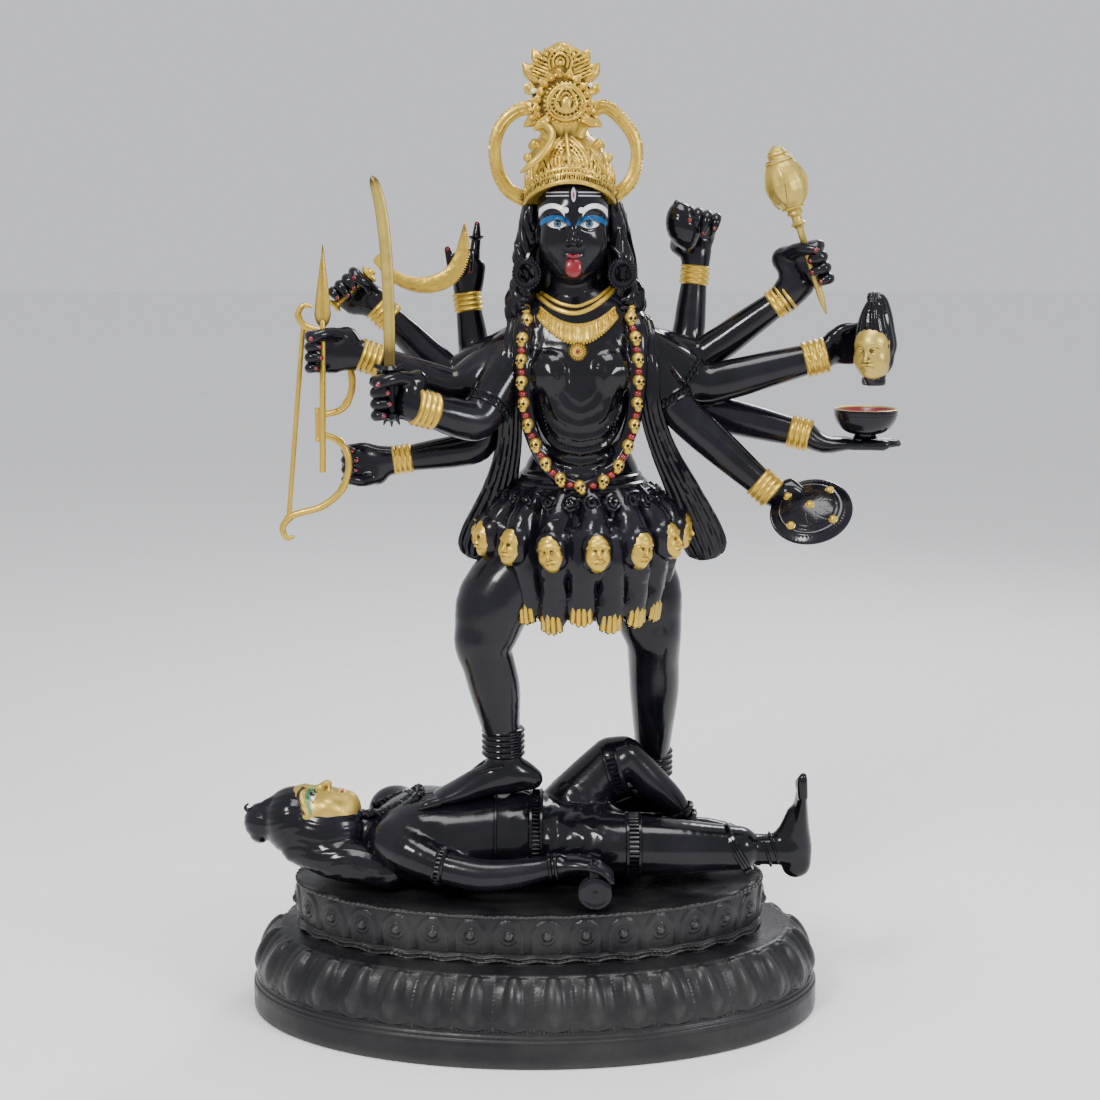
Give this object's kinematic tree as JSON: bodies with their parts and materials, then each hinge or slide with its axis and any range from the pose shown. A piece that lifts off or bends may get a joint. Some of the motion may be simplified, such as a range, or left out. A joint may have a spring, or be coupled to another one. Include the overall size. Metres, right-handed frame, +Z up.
{
  "type": "kali figure",
  "caption": "Many-armed goddess in black and gilt cast brass, holding her attributes and standing on a reclining figure on a lotus pedestal.",
  "frame": {"origin": "middle of the pedestal's underside, on the surface that it stands on", "axes": "+Z up, the figure faces -Y, and +X is to the viewer's right"},
  "size_m": [0.8177, 0.414, 1.2001],
  "materials": {
    "black_lacquer": "gloss",
    "pedestal_patina": "satin",
    "gilt": "satin"
  },
  "bodies": {
    "root": {"pedestal": "pedestal_patina", "reclining_figure": "black_lacquer", "standing_figure": "black_lacquer", "sword": "gilt", "sickle": "gilt", "bow": "gilt", "arrow": "gilt", "mace": "gilt", "severed_head": "gilt", "bowl": "pedestal_patina", "shield": "black_lacquer", "conch": "black_lacquer"}
  },
  "joints": []
}
